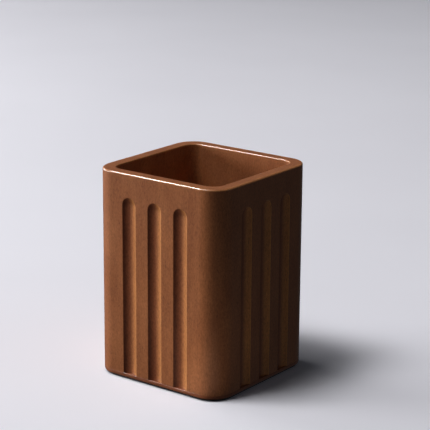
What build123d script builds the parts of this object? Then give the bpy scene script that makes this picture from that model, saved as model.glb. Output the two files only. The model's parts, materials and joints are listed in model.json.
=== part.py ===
from build123d import *
import os
from math import sqrt

# A square desk cup that holds pens and pencils upright. A fluted hardwood body,
# open at both ends, is closed from below by a plugged base plate. A cork pad lies
# on the floor of the well, and a thin non-slip pad is stuck under the base plate.
#
# Frame: millimetres, +Z up, origin at the centre of the face that the cup stands on.

os.makedirs("parts", exist_ok=True)

# ---- Driving dimensions ----------------------------------------------------------

# Cup as a whole
side = 80.0                  # width of each outer face, the same both ways
cup_height = 110.0           # standing surface to rim
corner_radius = 12.0         # upright outer corners
wall = 6.5                   # outer face to well, measured at a land between flutes
well_corner_radius = 6.5     # upright corners of the well
rim_outer_round = 1.0        # eased edge round the outside of the rim
rim_inner_round = 0.6        # eased edge round the mouth of the well

# Flutes, cut by a round-nosed cutter that runs out at the body's lower end
sides = 4
flutes_per_side = 3
flute_pitch = 16.4           # centre to centre
flute_depth = 1.75           # deepest point below the outer face
flute_margin = 12.4          # rim down to the highest point of each flute
cutter_radius = 6.0
cutter_overrun = 2.0         # how far the cutter travels past the lower end

# Base plate: a flange under the walls and a plug inside them
flange_thickness = 2.0
flange_round = 0.8           # eased edge round the underside
plug_height = 5.0
plug_lead_in = 0.5           # chamfer that starts the plug into the well
glue_gap = 0.15              # plug to well wall, all round

# Pads
cork_thickness = 1.5
cork_gap = 0.4               # cork edge to well wall, all round
grip_thickness = 1.0
grip_inset = 1.2             # base plate's outline to the grip pad's edge

# ---- Levels and outlines that follow from them -----------------------------------

flange_bottom = grip_thickness
body_bottom = flange_bottom + flange_thickness
plug_top = body_bottom + plug_height

well_side = side - 2 * wall
plug_side = well_side - 2 * glue_gap
cork_side = well_side - 2 * cork_gap
grip_side = side - 2 * grip_inset

# The cutter's axis stands outside the face, so that only its nearest edge cuts in.
# Its round nose leaves a flute end that rises half a flute's width above its centre.
flute_half_width = sqrt(flute_depth * (2 * cutter_radius - flute_depth))
cutter_axis = side / 2 + cutter_radius - flute_depth
nose_height = cup_height - flute_margin - flute_half_width
cutter_bottom = body_bottom - cutter_overrun

# ---- Flute cutter, a tool and not a piece of the cup -----------------------------

with BuildPart() as flute_cutter:
    with BuildSketch(Plane.XZ):
        with BuildLine():
            foot = Line((0, cutter_bottom), (cutter_radius, cutter_bottom))
            flank = Line(foot @ 1, (cutter_radius, nose_height))
            nose = CenterArc((0, nose_height), cutter_radius, 0, 90)
            Line(nose @ 1, foot @ 0)
        make_face()
    revolve(axis=Axis.Z)

# ---- Cup body: the fluted walls --------------------------------------------------

with BuildPart() as cup_body:
    with BuildSketch(Plane.XY.offset(body_bottom)):
        RectangleRounded(side, side, corner_radius)
        RectangleRounded(well_side, well_side, well_corner_radius, mode=Mode.SUBTRACT)
    extrude(amount=cup_height - body_bottom)

    rim = cup_body.faces().sort_by(Axis.Z)[-1]
    fillet(rim.outer_wire().edges(), rim_outer_round)
    rim = cup_body.faces().sort_by(Axis.Z)[-1]
    fillet(rim.inner_wires().edges(), rim_inner_round)

    with PolarLocations(cutter_axis, sides):
        with GridLocations(flute_pitch, flute_pitch, 1, flutes_per_side):
            add(flute_cutter.part, mode=Mode.SUBTRACT)
cup_body.part.label = "cup_body"
export_step(cup_body.part, "parts/cup_body.step")

# ---- Base plate: closes the body and shows as a plain band under the flutes ------

with BuildPart() as base_plate:
    with BuildSketch(Plane.XY.offset(flange_bottom)):
        RectangleRounded(side, side, corner_radius)
    extrude(amount=flange_thickness)
    underside = base_plate.faces().sort_by(Axis.Z)[0]
    fillet(underside.outer_wire().edges(), flange_round)

    with BuildSketch(Plane.XY.offset(body_bottom)):
        RectangleRounded(plug_side, plug_side, well_corner_radius - glue_gap)
    extrude(amount=plug_height)
    plug_face = base_plate.faces().sort_by(Axis.Z)[-1]
    chamfer(plug_face.outer_wire().edges(), plug_lead_in)
base_plate.part.label = "base_plate"
export_step(base_plate.part, "parts/base_plate.step")

# ---- Cork floor pad: lies on the plug, keeps points from blunting and rattling ---

with BuildPart() as floor_pad:
    with BuildSketch(Plane.XY.offset(plug_top)):
        RectangleRounded(cork_side, cork_side, well_corner_radius - cork_gap)
    extrude(amount=cork_thickness)
floor_pad.part.label = "floor_pad"
export_step(floor_pad.part, "parts/floor_pad.step")

# ---- Grip pad: set in under the base plate, so that the cup seems to float -------

with BuildPart() as grip_pad:
    with BuildSketch(Plane.XY):
        RectangleRounded(grip_side, grip_side, corner_radius - grip_inset)
    extrude(amount=grip_thickness)
grip_pad.part.label = "grip_pad"
export_step(grip_pad.part, "parts/grip_pad.step")
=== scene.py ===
# %% [markdown]
# # A fluted hardwood pen cup
#
# The cup is four pieces: a hollow body with flutes cut into its sides, a base plate
# plugged into the body from below, a cork pad on the floor of the well, and a thin
# rubber pad that the cup stands on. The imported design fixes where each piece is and
# how large it is. This lesson gives each one a clean mesh with its small rounded
# edges, and a finish made from nodes.

# %% Load the frame
import json
import math

import bmesh
import bpy
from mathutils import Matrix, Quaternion, Vector, noise
from mathutils.bvhtree import BVHTree

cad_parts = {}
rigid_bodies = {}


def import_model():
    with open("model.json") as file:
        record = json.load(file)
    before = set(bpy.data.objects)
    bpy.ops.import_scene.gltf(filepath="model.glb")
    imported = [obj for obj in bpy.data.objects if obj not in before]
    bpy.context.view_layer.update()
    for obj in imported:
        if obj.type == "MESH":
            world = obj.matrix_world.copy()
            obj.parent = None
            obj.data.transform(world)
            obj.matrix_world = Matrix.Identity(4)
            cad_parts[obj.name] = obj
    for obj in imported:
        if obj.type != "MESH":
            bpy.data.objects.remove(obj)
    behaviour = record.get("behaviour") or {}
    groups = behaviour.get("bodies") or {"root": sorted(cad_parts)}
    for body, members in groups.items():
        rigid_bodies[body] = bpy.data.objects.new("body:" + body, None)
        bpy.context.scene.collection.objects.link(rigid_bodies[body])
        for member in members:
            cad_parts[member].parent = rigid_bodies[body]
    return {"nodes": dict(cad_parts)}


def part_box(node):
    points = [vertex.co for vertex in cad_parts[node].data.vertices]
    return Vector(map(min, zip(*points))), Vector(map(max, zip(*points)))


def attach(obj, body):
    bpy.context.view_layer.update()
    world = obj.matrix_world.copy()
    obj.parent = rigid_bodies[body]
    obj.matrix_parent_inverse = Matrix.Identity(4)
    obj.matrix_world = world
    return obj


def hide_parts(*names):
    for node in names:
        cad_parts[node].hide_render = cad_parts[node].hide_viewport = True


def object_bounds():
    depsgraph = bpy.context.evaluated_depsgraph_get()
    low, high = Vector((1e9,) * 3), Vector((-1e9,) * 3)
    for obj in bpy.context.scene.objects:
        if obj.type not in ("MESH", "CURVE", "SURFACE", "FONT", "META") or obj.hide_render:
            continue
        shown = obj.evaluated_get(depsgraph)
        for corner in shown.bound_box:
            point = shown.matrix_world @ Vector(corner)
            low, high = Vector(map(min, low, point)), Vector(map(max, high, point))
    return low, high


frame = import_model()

mm = 0.001
cad_low, cad_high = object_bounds()
cad_size = cad_high - cad_low
print("pieces in the frame:", sorted(frame["nodes"]))
print("size of the cup in mm:", [round(length / mm, 2) for length in cad_size])

# %% [markdown]
# ## Sizes
#
# The outer sizes and the levels come from the frame, so nothing can drift away from
# the design. Only what a box can't tell is written here: the radii, and the round-nosed
# cutter that makes the flutes.

# %% Levels and widths read from the frame
body_low, body_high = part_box("cup_body")
plate_low, plate_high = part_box("base_plate")
cork_low, cork_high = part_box("floor_pad")
grip_low, grip_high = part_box("grip_pad")

half_side = body_high.x
rim_height = body_high.z
seam_height = body_low.z
print("half a side", round(half_side / mm, 2), "rim at", round(rim_height / mm, 2))
print("seam between body and base plate at", round(seam_height / mm, 2))

# %% Radii, wall and flutes
corner_radius = 12.0 * mm
wall = 6.5 * mm
well_corner_radius = 6.5 * mm
rim_outer_round = 1.0 * mm
rim_inner_round = 0.6 * mm
plate_round = 0.8 * mm

flutes_per_side = 3
flute_pitch = 16.4 * mm
flute_depth = 1.75 * mm
flute_margin = 12.4 * mm
cutter_radius = 6.0 * mm

half_well = half_side - wall
flute_half_width = math.sqrt(flute_depth * (2 * cutter_radius - flute_depth))
nose_height = rim_height - flute_margin - flute_half_width
print("a flute is", round(2 * flute_half_width / mm, 2), "mm wide")

# %% [markdown]
# ## One way to make every piece
#
# Each piece is a stack of closed loops, all with the same number of points, joined by
# four-sided faces. A loop runs once round a square with rounded corners. A station on
# it says which side it belongs to, how far along the flat stretch it lies, from -1 to
# 1, and how far round the next corner, from 0 to 1. The same stations work for every
# rounded square, so an outer wall, a rim and a well can share them, point for point.

# %% Stations on a rounded square
sides = 4


def stations_of(flat_stations, corner_steps):
    """One turn of stations: each side's flat stretch, then the corner after it."""
    turns = [(step + 1) / (corner_steps + 1) for step in range(corner_steps)]
    stations = []
    for side in range(sides):
        stations += [(side, along, 0.0) for along in flat_stations]
        stations += [(side, 1.0, turn) for turn in turns]
    return stations


def even_flat(steps):
    """Stations along a flat stretch, evenly spaced from -1 to 1."""
    return [i / steps for i in range(-steps, steps + 1)]


def place(station, half, radius):
    """The point of a rounded square at a station, and the outward direction there."""
    side, along, turn = station
    quarter = math.pi / 2
    facing = (side - 1) * quarter
    outward = Vector((math.cos(facing), math.sin(facing), 0.0))
    forward = Vector((-outward.y, outward.x, 0.0))
    flat = half - radius
    if turn == 0.0:
        return forward * (along * flat) + outward * half, outward
    leaning = facing + turn * quarter
    normal = Vector((math.cos(leaning), math.sin(leaning), 0.0))
    return (forward + outward) * flat + normal * radius, normal


def loop_at(stations, half, radius, height, inset=0.0):
    """A level loop of points, drawn in from the outline by inset."""
    points = []
    for station in stations:
        point, outward = place(station, half, radius)
        points.append(point - outward * inset + Vector((0, 0, height)))
    return points


def rounded_edge(radius, steps):
    """Pairs of (inset, drop) round a quarter turn, from the upright face to the flat one."""
    angles = [step / steps * math.pi / 2 for step in range(steps + 1)]
    return [(radius * (1 - math.cos(a)), radius * (1 - math.sin(a))) for a in angles]


# %% [markdown]
# Two steps turn loops into a piece. The first joins them with faces and puts the mesh
# in the scene. The second asks for weighted normals: the large flat faces set the
# shading, and only the rounds look round.

# %% From loops to a piece
flat_face_weight = 60


def skin(name, loops, ring=False):
    """Joins the loops with quads. A ring closes on itself, and other stacks get two caps."""
    mesh = bpy.data.meshes.new(name)
    build = bmesh.new()
    rows = [[build.verts.new(point) for point in loop] for loop in loops]
    count = len(rows[0])
    pairs = list(zip(rows, rows[1:]))
    if ring:
        pairs.append((rows[-1], rows[0]))
    for lower, upper in pairs:
        for i in range(count):
            j = (i + 1) % count
            build.faces.new((lower[i], lower[j], upper[j], upper[i]))
    if not ring:
        build.faces.new(list(reversed(rows[0])))
        build.faces.new(rows[-1])
    bmesh.ops.recalc_face_normals(build, faces=build.faces)
    for face in build.faces:
        face.smooth = True
    build.to_mesh(mesh)
    build.free()
    piece = bpy.data.objects.new(name, mesh)
    bpy.context.scene.collection.objects.link(piece)
    print(name, "has", len(mesh.vertices), "points and", len(mesh.polygons), "faces")
    return piece


def even_normals(piece):
    """Lets the large flat faces set the shading, so that only the rounds look round."""
    modifier = piece.modifiers.new("even_normals", "WEIGHTED_NORMAL")
    modifier.mode = "FACE_AREA"
    modifier.weight = flat_face_weight
    return piece


# %% [markdown]
# ## The fluted body
#
# On a cup like this a round-nosed cutter travels up each face and stops short of the
# rim, so a flute is a shallow trough with a half-round end, and it runs out at the foot.
# A boolean cut would do it, but it leaves long thin triangles. Here the wall's own points
# sink by as much as the cutter takes away, which keeps the quads even and lets the
# edges be sanded: a smooth maximum rounds them over about a quarter of a millimetre.

# %% How deep the cutter goes
sanding = 0.28 * mm
flute_centres = [(i - (flutes_per_side - 1) / 2) * flute_pitch for i in range(flutes_per_side)]


def cut_below_face(across, height):
    """The cutter's depth below the face, negative where it stays outside."""
    reach = math.hypot(across, max(0.0, height - nose_height))
    if reach >= cutter_radius:
        return -cutter_radius
    return flute_depth - cutter_radius + math.sqrt(cutter_radius**2 - reach**2)


def sanded(depth):
    """The larger of depth and nothing, with the edge between them eased."""
    blend = max(0.0, 1 - abs(depth) / sanding)
    return max(depth, 0.0) + blend * blend * sanding / 4


print("a flute is", round(cut_below_face(0.0, seam_height) / mm, 2), "mm deep at its middle")

# %% Columns across a side, dense where a flute is
edge_zone = 0.6 * mm
edge_columns = 9
trough_columns = 14


def spread(start, stop, count):
    """Evenly spaced values from start, with stop left for the next stretch."""
    return [start + (stop - start) * i / count for i in range(count)]


half_columns = spread(0.0, flute_half_width - edge_zone, trough_columns)
half_columns += spread(flute_half_width - edge_zone, flute_half_width + edge_zone, edge_columns)
half_columns.append(flute_half_width + edge_zone)
flute_columns = [-x for x in reversed(half_columns[1:])] + half_columns

flat_half = half_side - corner_radius
columns = [-flat_half] + [c + x for c in flute_centres for x in flute_columns] + [flat_half]
body_stations = stations_of([x / flat_half for x in columns], corner_steps=20)
print("stations round the body:", len(body_stations))

# %% Rows up the outer wall
foot_round = 0.12 * mm
end_rows = 24
trough_rows = 6
flute_tip = rim_height - flute_margin
rim_shoulder = rim_height - rim_outer_round

foot_edge = rounded_edge(foot_round, steps=3)
rim_edge = rounded_edge(rim_outer_round, steps=8)

rows = [(inset, seam_height + drop) for inset, drop in reversed(foot_edge)]
rows += [(0.0, z) for z in spread(seam_height + 2 * foot_round, nose_height, trough_rows)]
rows += [(0.0, z) for z in spread(nose_height, flute_tip + edge_zone, end_rows)]
rows += [(0.0, z) for z in spread(flute_tip + edge_zone, rim_shoulder, 3)]
rows += [(inset, rim_height - drop) for inset, drop in rim_edge]


def wall_loop(inset, height):
    """A loop of the outer wall, with the flutes sunk into it."""
    points = loop_at(body_stations, half_side, corner_radius, height, inset)
    if height > flute_tip + edge_zone:
        return points
    for i, (side, along, turn) in enumerate(body_stations):
        if turn == 0.0:
            nearest = min(abs(along * flat_half - centre) for centre in flute_centres)
            outward = place(body_stations[i], half_side, corner_radius)[1]
            points[i] -= outward * sanded(cut_below_face(nearest, height))
    return points


outer_loops = [wall_loop(inset, height) for inset, height in rows]
print("loops up the outer wall:", len(outer_loops))

# %% [markdown]
# The loops go on over the rim, down the well and back under the foot to the first one,
# so the body is one closed ring with no caps.

# %% Rim, well and foot
rim_rows = 6
well_rows = 8


def well_loop(outset, height):
    """A loop of the well, set out into the wall by outset."""
    return loop_at(body_stations, half_well, well_corner_radius, height, -outset)


inner_round = rounded_edge(rim_inner_round, steps=6)
inner_edge = [(inset, rim_height - drop) for inset, drop in reversed(inner_round)]
well_heights = spread(rim_height - 2 * rim_inner_round, seam_height + foot_round, well_rows)
well_loops = [well_loop(outset, height) for outset, height in inner_edge]
well_loops += [well_loop(0.0, height) for height in well_heights]
well_loops += [well_loop(foot_round - drop, seam_height + drop) for drop in (foot_round, 0.0)]

rim_loops = []
for row in range(1, rim_rows):
    share = row / rim_rows
    rim_loops.append([a.lerp(b, share) for a, b in zip(outer_loops[-1], well_loops[0])])

fluted_body = even_normals(skin("fluted_body", outer_loops + rim_loops + well_loops, ring=True))

# %% [markdown]
# Hands and pencils rub the stain thin on sharp edges first. How rubbed each point is
# gets stored on the mesh as a number from 0 to 1, for the wood finish to read.

# %% Rubbed edges
rubbed_band = 0.12 * mm
rim_band = 1.3 * rim_outer_round
rim_flat_band = 0.02 * mm
wall_band = 1.2 * flute_depth
rim_rub = 0.25
flute_rub = 0.5


def rubbed(point):
    """rim_rub on the rounds of the rim, flute_rub on a flute's edge and fading beside it."""
    if point.z > rim_shoulder:
        outer = max(abs(point.x), abs(point.y)) > half_side - rim_band
        inner = point.z < rim_height - rim_flat_band
        return rim_rub if outer or inner else 0.0
    across = point.y if abs(point.x) > abs(point.y) else point.x
    on_wall = max(abs(point.x), abs(point.y)) > half_side - wall_band
    if not on_wall or abs(across) > flat_half:
        return 0.0
    nearest = min(abs(across - centre) for centre in flute_centres)
    depth = cut_below_face(nearest, point.z)
    return flute_rub * max(0.0, 1 - abs(depth) / rubbed_band)


wear = fluted_body.data.attributes.new("rubbed", "FLOAT", "POINT")
rubs = [rubbed(vertex.co) for vertex in fluted_body.data.vertices]
wear.data.foreach_set("value", rubs)
print("points that are rubbed:", sum(rub > 0 for rub in rubs), "of", len(rubs))

# %% [markdown]
# A flute's two walls don't look alike. Seen from outside, the left one is darker and the
# right one lighter. That is painted shade on the left wall and painted light on the right
# one: light falling from one side is put into the colour, so it stays under any lamp. How
# strong it is here is a guess. The tints are set with the colours of the wood, and weaker
# ones suit a cup that will be lit from elsewhere. Which wall a point is on is stored as a
# second number, from 0 at the far left to 1 at the far right, and 0.5 off the flutes.

# %% Painted shade and light on the walls of a flute
neither_wall = 0.5


def wall_side(point):
    """0 to 1 across a flute as seen from outside, fading to 0.5 off the flutes."""
    if abs(point.x) > abs(point.y):
        across = math.copysign(1, point.x) * point.y
        off_centre = abs(point.x)
    else:
        across = -math.copysign(1, point.y) * point.x
        off_centre = abs(point.y)
    if off_centre < half_side - wall_band or abs(across) > flat_half:
        return neither_wall
    offset = min((across - centre for centre in flute_centres), key=abs)
    inside = 1 + cut_below_face(abs(offset), point.z) / rubbed_band
    share = max(0.0, min(1.0, inside))
    return neither_wall + 0.5 * share * max(-1.0, min(1.0, offset / flute_half_width))


# Which wall each point is on, kept for the painted shade and painted light of the flutes.
painted_flute_shade_side = fluted_body.data.attributes.new("painted_flute_shade_side", "FLOAT", "POINT")
walls = [wall_side(vertex.co) for vertex in fluted_body.data.vertices]
painted_flute_shade_side.data.foreach_set("value", walls)
print("wall numbers run from", round(min(walls), 2), "to", round(max(walls), 2))

# %% [markdown]
# A mesh that stands for a designed piece has to agree with it. The frame still holds
# the designed body, so the distance from each new point to that body is easy to find.

# %% Compare the new body with the designed one
designed = BVHTree.FromObject(frame["nodes"]["cup_body"], bpy.context.evaluated_depsgraph_get())
distances = [designed.find_nearest(vertex.co)[3] for vertex in fluted_body.data.vertices]
print("largest distance from the design in mm:", round(max(distances) / mm, 3))

# %% [markdown]
# ## The base plate
#
# A board of the same wood closes the body. Its flange has the body's outline and shows
# as a plain band under the flutes, and its plug goes up into the well. The edges at the
# joint are eased a little on both pieces, which is what makes a glued joint show as a
# hairline.

# %% Base plate
plug_gap = 0.15 * mm
plug_lead_in = 0.5 * mm
half_plug = half_well - plug_gap
plug_radius = well_corner_radius - plug_gap
plain_stations = stations_of(even_flat(6), corner_steps=16)


def plate_loop(inset, height):
    """A loop of the flange, with the body's own outline."""
    return loop_at(plain_stations, half_side, corner_radius, height, inset)


def plug_loop(inset, height):
    """A loop of the plug, a little smaller than the well."""
    return loop_at(plain_stations, half_plug, plug_radius, height, inset)


low_edge = reversed(rounded_edge(plate_round, steps=6))
plate_loops = [plate_loop(inset, plate_low.z + drop) for inset, drop in low_edge]
plate_loops += [plate_loop(inset, seam_height - drop) for inset, drop in foot_edge]
plate_loops.append(plug_loop(0.0, seam_height))
plate_loops.append(plug_loop(0.0, plate_high.z - plug_lead_in))
plate_loops.append(plug_loop(plug_lead_in, plate_high.z))
base_board = even_normals(skin("base_board", plate_loops))

# %% [markdown]
# ## Cork floor and rubber foot
#
# Both are stamped from sheet. A stamped edge is never quite sharp, so each slab gets a
# small round at the top and the bottom. A pressed sheet isn't flat to the touch either,
# so the cork's loops continue across its face, and noise sinks each point there by up
# to a tenth of a millimetre. The noise has no seed to set and gives the same dents each
# time.

# %% A stamped slab
cork_radius = well_corner_radius - (half_well - cork_high.x)
grip_radius = corner_radius - (half_side - grip_high.x)
dent_width = 3.5 * mm


def dented(point, depth):
    """The point sunk by up to depth, in dents a few millimetres wide."""
    height = noise.noise(point / dent_width)
    return point - Vector((0, 0, depth * max(0.0, min(1.0, 0.5 - height))))


def slab(name, low, high, radius, edge, face_loops, dent_depth=0.0):
    """A rounded square slab with eased edges, and rings of points across its top."""
    half = high.x
    stations = stations_of(even_flat(10), corner_steps=10)
    eased = rounded_edge(edge, steps=4)
    loops = [loop_at(stations, half, radius, low.z + drop, inset) for inset, drop in reversed(eased)]
    loops += [loop_at(stations, half, radius, high.z - drop, inset) for inset, drop in eased]
    rim = loops[-1]
    centre = Vector((0, 0, high.z))
    for ring in range(1, face_loops):
        share = ring / face_loops
        loops.append([dented(point.lerp(centre, share), dent_depth) for point in rim])
    return even_normals(skin(name, loops))


cork_floor = slab(
    "cork_floor", cork_low, cork_high, cork_radius, edge=0.3 * mm, face_loops=40, dent_depth=0.1 * mm
)
grip_sheet = slab("grip_sheet", grip_low, grip_high, grip_radius, edge=0.2 * mm, face_loops=2)

# %% [markdown]
# ## Where each piece belongs
#
# Nothing on the cup moves, so every piece rides on the one body and hides the designed
# node that it stands for.

# %% Ride and replace
for piece, node, finish in (
    (fluted_body, "cup_body", "body_wood"),
    (base_board, "base_plate", "base_wood"),
    (cork_floor, "floor_pad", "cork"),
    (grip_sheet, "grip_pad", "grip_rubber"),
):
    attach(piece, "root")
    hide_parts(node)
    print(piece.name, "stands for", node, "and is finished in", finish)

# %% [markdown]
# ## Node helpers
#
# A material here is a chain of small steps: noise stretched along the grain, a ramp
# that turns it into a colour, and a mix. Adding and joining those nodes by hand takes
# several lines each time, so one small class holds a material with a short way to do
# each step.

# %% Helpers for materials


class Finish:
    """A material under construction, with short ways to add and join nodes."""

    def __init__(self, name):
        self.material = bpy.data.materials.new(name)
        self.material.use_nodes = True
        self.tree = self.material.node_tree
        self.shader = self.tree.nodes["Principled BSDF"]
        self.place = self.tree.nodes.new("ShaderNodeTexCoord").outputs["Object"]

    def node(self, kind, **settings):
        """Adds a node of that kind, with its settings."""
        made = self.tree.nodes.new(kind)
        for name, value in settings.items():
            setattr(made, name, value)
        return made

    def join(self, source, target):
        """Links one socket to another."""
        self.tree.links.new(source, target)

    def scaled(self, x, y, z):
        """Positions stretched so that one unit of noise spans the given lengths in mm."""
        mapping = self.node("ShaderNodeMapping")
        mapping.inputs["Scale"].default_value = (1 / (x * mm), 1 / (y * mm), 1 / (z * mm))
        self.join(self.place, mapping.inputs["Vector"])
        return mapping.outputs["Vector"]

    def noise(self, vector, detail=2.0, roughness=0.5):
        """Soft noise at those positions, from 0 to 1."""
        made = self.node("ShaderNodeTexNoise")
        made.inputs["Scale"].default_value = 1.0
        made.inputs["Detail"].default_value = detail
        made.inputs["Roughness"].default_value = roughness
        made.inputs["Distortion"].default_value = 0.0
        self.join(vector, made.inputs["Vector"])
        return made.outputs["Fac"]

    def ramp(self, value, *stops):
        """Maps a value to a grey or a colour through (position, colour) stops."""
        made = self.node("ShaderNodeValToRGB")
        elements = made.color_ramp.elements
        while len(elements) < len(stops):
            elements.new(0.5)
        for element, (position, colour) in zip(elements, stops):
            element.position = position
            shade = colour if hasattr(colour, "__len__") else (colour, colour, colour)
            element.color = (*shade, 1.0)
        self.join(value, made.inputs["Fac"])
        return made.outputs["Color"]

    def mix(self, share, first, second, blend="MIX"):
        """Blends two colours; share, first and second are sockets or plain values."""
        made = self.node("ShaderNodeMix", data_type="RGBA", blend_type=blend)
        inputs = (made.inputs[0], made.inputs[6], made.inputs[7])
        for socket, value in zip(inputs, (share, first, second)):
            if hasattr(value, "is_output"):
                self.join(value, socket)
            else:
                socket.default_value = (*value, 1.0) if hasattr(value, "__len__") else value
        return made.outputs[2]

    def math(self, operation, first, second):
        """Arithmetic on two values, each a socket or a plain number."""
        made = self.node("ShaderNodeMath", operation=operation)
        for socket, value in zip(made.inputs, (first, second)):
            if hasattr(value, "is_output"):
                self.join(value, socket)
            else:
                socket.default_value = value
        return made.outputs[0]

    def relief(self, height, depth, under=None):
        """A bump whose full range is depth millimetres, laid over the one under it."""
        made = self.node("ShaderNodeBump")
        made.inputs["Strength"].default_value = 1.0
        made.inputs["Distance"].default_value = depth * mm
        self.join(height, made.inputs["Height"])
        if under is not None:
            self.join(under, made.inputs["Normal"])
        return made.outputs["Normal"]


# %% [markdown]
# ## Stained hardwood
#
# The wood is close-grained and stained an even saddle brown, then sprayed with a satin
# lacquer. Up close it still shows what it is: a soft mottle, fine fibres along the
# grain, and pores as short dark dashes that turn into dots on end grain. All of it is
# solid noise, stretched along the grain, so sides, rim and flutes agree where they meet.

# %% Colours of the wood
dark_stain = (0.240, 0.070, 0.028)
light_stain = (0.306, 0.096, 0.039)
pore_brown = (0.085, 0.030, 0.014)
bare_wood = (0.56, 0.235, 0.090)
# Painted shade for the left wall of each flute and painted light for the right one.
painted_shade_tint = (0.50, 0.50, 0.54)
painted_light_tint = (2.15, 2.68, 2.12)
pore_roughness = (0.8, 0.8, 0.8)
print("stain runs from", dark_stain, "to", light_stain)

# %% [markdown]
# Four noises make the figure of the wood, from coarse to fine. Each is given two
# lengths in millimetres, one across the grain and one along it. A seed shifts the whole
# block of noise, so the base plate isn't cut from the same spot as the body.

# %% Figure of the wood


def figure(wood, axis, seed):
    """Noises for board, mottle, fibres and pores, along axis 0 for X or 2 for Z."""

    def grain(across_mm, along_mm):
        lengths = [across_mm] * 3
        lengths[axis] = along_mm
        vector = wood.scaled(*lengths)
        shift = wood.node("ShaderNodeVectorMath", operation="ADD")
        shift.inputs[1].default_value = (seed, seed * 1.7, seed * 2.3)
        wood.join(vector, shift.inputs[0])
        return shift.outputs[0]

    board = wood.noise(grain(9.0, 34.0), detail=3.0, roughness=0.55)
    mottle = wood.noise(grain(0.8, 1.4), detail=3.0, roughness=0.65)
    fibres = wood.noise(grain(0.28, 6.5), detail=2.0)
    pores = wood.noise(grain(0.34, 2.6), detail=1.0)
    return board, mottle, fibres, pores


# %% [markdown]
# The colour is built in the order a finisher works in. The stain goes on first and
# takes unevenly, the pores fill dark, and the rubbed edges wear back towards bare wood.
# On the body, painted shade goes on the left wall of each flute and painted light on
# the right one, last. Both are multiplied in, so the figure of the wood still shows through them.

# %% Stain, with painted shade and light on the flutes


def stain_and_flute_shade_colour(wood, board, mottle, fibred, pore_mask, fluted):
    """The colour of stained wood, with painted shade and painted light on the flute walls if fluted.
    """
    stain = wood.ramp(board, (0.30, dark_stain), (0.72, light_stain))
    mottled = wood.ramp(mottle, (0.26, 0.74), (0.50, 1.0), (0.76, 1.24))
    stain = wood.mix(1.0, stain, mottled, "MULTIPLY")
    stain = wood.mix(1.0, stain, fibred, "MULTIPLY")
    stain = wood.mix(wood.math("MULTIPLY", pore_mask, 0.55), stain, pore_brown)
    worn = wood.node("ShaderNodeAttribute", attribute_name="rubbed").outputs["Fac"]
    worn = wood.mix(1.0, worn, wood.ramp(mottle, (0.25, 0.65), (0.60, 1.0)), "MULTIPLY")
    stain = wood.mix(wood.math("MULTIPLY", worn, 0.85), stain, bare_wood)
    if not fluted:
        return stain
    # Painted shade darkens the left wall of each flute and painted light brightens the right one;
    # stain then carries both.
    wall_of_flute = wood.node("ShaderNodeAttribute", attribute_name="painted_flute_shade_side").outputs["Fac"]
    darker = wood.ramp(wall_of_flute, (0.0, painted_shade_tint), (0.34, 1.0))
    lighter = wood.ramp(wall_of_flute, (0.40, 0.0), (0.74, 1.0))
    stain = wood.mix(1.0, stain, darker, "MULTIPLY")
    painted_lit_wall_colour = wood.mix(1.0, stain, painted_light_tint, "MULTIPLY")
    return wood.mix(lighter, stain, painted_lit_wall_colour)


# %% [markdown]
# Lacquer is a clear layer over the wood, so the shader's coat carries most of the
# gloss. Below it, handling leaves soft patches duller and the pores are dull. Mottle,
# fibres and pores press through as relief a few hundredths of a millimetre deep.

# %% Hardwood finish


def hardwood(name, axis, seed, fluted=False):
    """Stained and lacquered hardwood, with its grain along the axis, and painted shade and light on
    its flutes if fluted.
    """
    wood = Finish(name)
    board, mottle, fibres, pores = figure(wood, axis, seed)
    fibred = wood.ramp(fibres, (0.30, 0.93), (0.70, 1.06))
    pore_mask = wood.ramp(pores, (0.66, 0.0), (0.74, 1.0))
    # On the body this colour holds the painted shade and painted light of the flute walls too.
    stain = stain_and_flute_shade_colour(wood, board, mottle, fibred, pore_mask, fluted)
    wood.join(stain, wood.shader.inputs["Base Color"])

    handled = wood.noise(wood.scaled(18, 18, 22), detail=2.0)
    gloss = wood.ramp(handled, (0.35, 0.44), (0.70, 0.54))
    gloss = wood.mix(wood.math("MULTIPLY", pore_mask, 0.4), gloss, pore_roughness)
    wood.join(gloss, wood.shader.inputs["Roughness"])

    dips = wood.mix(1.0, fibred, wood.ramp(pores, (0.64, 1.0), (0.76, 0.0)), "MULTIPLY")
    soft = wood.relief(mottle, 0.035)
    wood.join(wood.relief(dips, 0.03, under=soft), wood.shader.inputs["Normal"])

    wood.shader.inputs["Specular IOR Level"].default_value = 0.12
    wood.shader.inputs["Coat Weight"].default_value = 0.75
    wood.shader.inputs["Coat Roughness"].default_value = 0.2
    print(name, "has", len(wood.tree.nodes), "nodes")
    return wood.material


# The body's wood carries the painted shade and light of its flutes.
upright_wood = hardwood("stained_wood_upright_grain_painted_flute_shade", axis=2, seed=3.1, fluted=True)
level_wood = hardwood("stained_wood_level_grain", axis=0, seed=8.4)
fluted_body.data.materials.append(upright_wood)
base_board.data.materials.append(level_wood)

# %% [markdown]
# ## Cork and rubber
#
# Cork sheet is pressed from granules of slightly different browns with dark bark specks
# between them, which is what a cell pattern gives. The rubber is nearly black, with a
# fine pebbled skin that keeps its gloss low.

# %% Cork finish
dark_granule = (0.17, 0.085, 0.040)
mid_granule = (0.34, 0.19, 0.095)
light_granule = (0.46, 0.28, 0.15)
bark_brown = (0.06, 0.03, 0.016)


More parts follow.
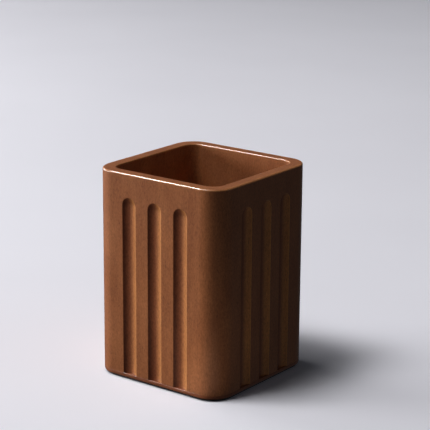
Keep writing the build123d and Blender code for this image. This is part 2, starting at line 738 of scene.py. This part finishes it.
def pressed_cork(name):
    """Cork granules of mixed browns, with bark specks and a rough dry face."""
    cork = Finish(name)
    cells = cork.node("ShaderNodeTexVoronoi")
    cells.inputs["Scale"].default_value = 1.0
    cork.join(cork.scaled(1.2, 1.2, 1.2), cells.inputs["Vector"])
    tone = cork.node("ShaderNodeSeparateColor")
    cork.join(cells.outputs["Color"], tone.inputs[0])
    browns = ((0.0, dark_granule), (0.45, mid_granule), (1.0, light_granule))
    granule = cork.ramp(tone.outputs[0], *browns)
    specks = cork.ramp(cork.noise(cork.scaled(0.8, 0.8, 0.8), detail=3.0), (0.62, 0.0), (0.70, 1.0))
    granule = cork.mix(cork.math("MULTIPLY", specks, 0.7), granule, bark_brown)
    cork.join(granule, cork.shader.inputs["Base Color"])
    grit = cork.noise(cork.scaled(0.35, 0.35, 0.35), detail=2.0)
    cork.join(cork.ramp(grit, (0.3, 0.82), (0.7, 0.95)), cork.shader.inputs["Roughness"])
    raised = cork.ramp(cells.outputs["Distance"], (0.0, 1.0), (0.8, 0.0))
    cork.join(cork.relief(raised, 0.12, under=cork.relief(grit, 0.05)), cork.shader.inputs["Normal"])
    print(name, "has", len(cork.tree.nodes), "nodes")
    return cork.material


cork_floor.data.materials.append(pressed_cork("pressed_cork"))

# %% Rubber finish
clean_rubber = (0.016, 0.014, 0.013)
dusty_rubber = (0.040, 0.035, 0.032)


def pebbled_rubber(name):
    """Nearly black rubber with a pebbled skin and a little dust."""
    rubber = Finish(name)
    pebbles = rubber.noise(rubber.scaled(0.5, 0.5, 0.5), detail=2.0)
    dust = rubber.noise(rubber.scaled(6, 6, 6), detail=4.0)
    shade = rubber.ramp(dust, (0.35, clean_rubber), (0.75, dusty_rubber))
    rubber.join(shade, rubber.shader.inputs["Base Color"])
    rubber.join(rubber.ramp(pebbles, (0.3, 0.70), (0.7, 0.88)), rubber.shader.inputs["Roughness"])
    rubber.join(rubber.relief(pebbles, 0.06), rubber.shader.inputs["Normal"])
    print(name, "has", len(rubber.tree.nodes), "nodes")
    return rubber.material


grip_sheet.data.materials.append(pebbled_rubber("pebbled_rubber"))

# %% [markdown]
# ## Floor and light
#
# The cup stands on a plain pale floor. A white table would throw its light back on the
# lower half of the dark side and flatten it, so the floor is left out of the light that
# bounces to the cup, and out of the reflections in the lacquer. It has no gloss either,
# or views from the right would see the low lamps mirrored in it.

# %% Pale floor
floor_half = 4.0
floor_cloud_mm = 260
dull_paint = (0.815, 0.805, 0.865)
bright_paint = (0.845, 0.835, 0.895)


def pale_floor():
    """A large level square, painted almost white."""
    mesh = bpy.data.meshes.new("pale_floor")
    corners = [(-1, -1), (1, -1), (1, 1), (-1, 1)]
    mesh.from_pydata([(x * floor_half, y * floor_half, 0.0) for x, y in corners], [], [(0, 1, 2, 3)])
    floor = bpy.data.objects.new("pale_floor", mesh)
    bpy.context.scene.collection.objects.link(floor)
    paint = Finish("pale_paint")
    cloud = paint.noise(paint.scaled(floor_cloud_mm, floor_cloud_mm, floor_cloud_mm), detail=2.0)
    shade = paint.ramp(cloud, (0.35, dull_paint), (0.70, bright_paint))
    paint.join(shade, paint.shader.inputs["Base Color"])
    paint.shader.inputs["Roughness"].default_value = 0.85
    paint.shader.inputs["Specular IOR Level"].default_value = 0.0
    mesh.materials.append(paint.material)
    floor.visible_diffuse = False
    floor.visible_glossy = False
    print("the floor is", 2 * floor_half, "m square")


pale_floor()

# %% [markdown]
# From low down the eye meets the end of the floor. A round wall of pale cloth, far
# behind the lamps, closes the studio there. It glows by itself, so it needs no lamp,
# and it sends nothing to the cup and casts no shadow: it is there for the eye only.

# %% Pale backdrop
backdrop_radius = 2.65
backdrop_height = 1.6
backdrop_panels = 96
cloth_cloud_mm = 900
dull_cloth = (0.44, 0.44, 0.47)
bright_cloth = (0.50, 0.50, 0.53)


def pale_backdrop():
    """A round upright wall that stands on the floor and glows."""
    mesh = bpy.data.meshes.new("pale_backdrop")
    turns = [2 * math.pi * panel / backdrop_panels for panel in range(backdrop_panels)]
    foot = [(backdrop_radius * math.cos(t), backdrop_radius * math.sin(t), 0.0) for t in turns]
    head = [(x, y, backdrop_height) for x, y, z in foot]
    panels = [(i, (i + 1) % backdrop_panels) for i in range(backdrop_panels)]
    faces = [(i, j, j + backdrop_panels, i + backdrop_panels) for i, j in panels]
    mesh.from_pydata(foot + head, [], faces)
    wall_of_cloth = bpy.data.objects.new("pale_backdrop", mesh)
    bpy.context.scene.collection.objects.link(wall_of_cloth)
    cloth = Finish("glowing_cloth")
    cloud = cloth.noise(cloth.scaled(cloth_cloud_mm, cloth_cloud_mm, cloth_cloud_mm), detail=2.0)
    shade = cloth.ramp(cloud, (0.35, dull_cloth), (0.70, bright_cloth))
    cloth.join(shade, cloth.shader.inputs["Emission Color"])
    cloth.shader.inputs["Emission Strength"].default_value = 1.0
    cloth.material.cycles.emission_sampling = "NONE"
    cloth.shader.inputs["Base Color"].default_value = (0.0, 0.0, 0.0, 1.0)
    cloth.shader.inputs["Specular IOR Level"].default_value = 0.0
    mesh.materials.append(cloth.material)
    wall_of_cloth.visible_diffuse = False
    wall_of_cloth.visible_glossy = False
    wall_of_cloth.visible_shadow = False
    print("the backdrop is", 2 * backdrop_radius, "m across and", backdrop_height, "m high")


pale_backdrop()

# %% [markdown]
# The light comes mainly from the left, and each lamp has one job:
#
# - Two low softboxes light the body. They stand well round to the side, so on the
#   front one wall of each flute is lit and the other falls into shade.
# - A high softbox lights the floor and lays the cup's shadow out to the right.
# - A weak one between them and a weaker one behind lift the darkest places a little.
# - The sparkle lamp is seen only in reflections. It draws the bright line on the rim
#   and adds nothing to the colour of the wood.

# %% A softbox round the cup
cup_middle = Vector((0, 0, rim_height / 2))


def direction(azimuth, elevation):
    """A unit vector towards a point seen at that bearing and height, both in degrees."""
    a, e = math.radians(azimuth), math.radians(elevation)
    return Vector((math.sin(a) * math.cos(e), -math.cos(a) * math.cos(e), math.sin(e)))


def softbox(name, azimuth, elevation, distance, width, height, watts):
    """A rectangular lamp at that bearing from the cup, turned to face it."""
    lamp = bpy.data.lights.new(name, "AREA")
    lamp.shape = "RECTANGLE"
    lamp.size = width
    lamp.size_y = height
    lamp.energy = watts
    light = bpy.data.objects.new(name, lamp)
    towards = direction(azimuth, elevation)
    light.location = cup_middle + towards * distance
    light.rotation_mode = "QUATERNION"
    light.rotation_quaternion = (-towards).to_track_quat("-Z", "Y")
    bpy.context.scene.collection.objects.link(light)
    return light


# %% Studio lamps
# name, azimuth and elevation in degrees, distance, width and height in metres, watts
studio = (
    ("low_softbox", -56, 8, 2.0, 0.7, 0.5, 22.6),
    ("left_softbox", -90, 8, 2.0, 0.7, 0.5, 25.0),
    ("high_softbox", -40, 68, 2.4, 0.8, 0.8, 37.0),
    ("middle_softbox", -58, 50, 2.0, 0.7, 0.7, 3.0),
    ("back_softbox", 110, 8, 2.0, 0.7, 0.5, 0.7),
    ("sparkle", -65, 50, 2.0, 0.34, 0.34, 60.0),
)
lamps = {settings[0]: softbox(*settings) for settings in studio}
lamps["sparkle"].visible_diffuse = False
for name, light in lamps.items():
    print(name, "at", [round(v, 2) for v in light.location], "with", round(light.data.energy, 1), "W")

# %% [markdown]
# With the floor's bounce left out, the foot of the front corner is too dark. A small
# card of light lies on the floor beside it and shines up. Neither the camera nor the
# lacquer sees the card. It is made as a softbox and then laid flat in its own place.

# %% A card of light on the floor
card_side = 0.07
card_watts = 0.0108
card_place = (0.047, -0.080, 0.001)

card = softbox("floor_card", 0, 0, 0.1, card_side, card_side, card_watts)
card.location = card_place
card.rotation_quaternion = Vector((0, 0, 1)).to_track_quat("-Z", "Y")
card.visible_camera = False
card.visible_glossy = False
print("card of light at", card_place)

# %% [markdown]
# A last faint light comes from all round, a little blue, and keeps the dark side from
# going black. The standard view shows the colours as they were set.

# %% Light from all round
air_colour = (0.78, 0.88, 1.0, 1.0)
air_strength = 0.04

world = bpy.data.worlds.new("studio")
world.use_nodes = True
world.node_tree.nodes["Background"].inputs["Color"].default_value = air_colour
world.node_tree.nodes["Background"].inputs["Strength"].default_value = air_strength
bpy.context.scene.world = world
bpy.context.scene.view_settings.view_transform = "Standard"
print("light from all round has strength", air_strength)

# %% [markdown]
# ## Camera
#
# A long lens keeps the upright edges almost parallel. The view is from the front right
# and a little above, so two sides and the mouth show.

# %% Camera
camera_azimuth = 37.1
camera_elevation = 15.83
camera_distance = 883.0 * mm
camera_roll = math.radians(0.4)
focal_length = 143.15
aim_height = 82.93 * mm
aim_right = 6.14 * mm

lens = bpy.data.cameras.new("three_quarter_view")
lens.lens = focal_length
lens.sensor_width = 36.0
lens.clip_end = 20.0
camera = bpy.data.objects.new("three_quarter_view", lens)
bearing = math.radians(camera_azimuth)
level_right = Vector((math.cos(bearing), math.sin(bearing), 0.0))
towards_camera = direction(camera_azimuth, camera_elevation)
aim = level_right * aim_right + Vector((0, 0, aim_height))
camera.location = aim + towards_camera * camera_distance
camera.rotation_mode = "QUATERNION"
level_turn = (-towards_camera).to_track_quat("-Z", "Y")
camera.rotation_quaternion = level_turn @ Quaternion((0, 0, 1), camera_roll)
bpy.context.scene.collection.objects.link(camera)
bpy.context.scene.camera = camera
print("camera at", [round(v, 3) for v in camera.location])
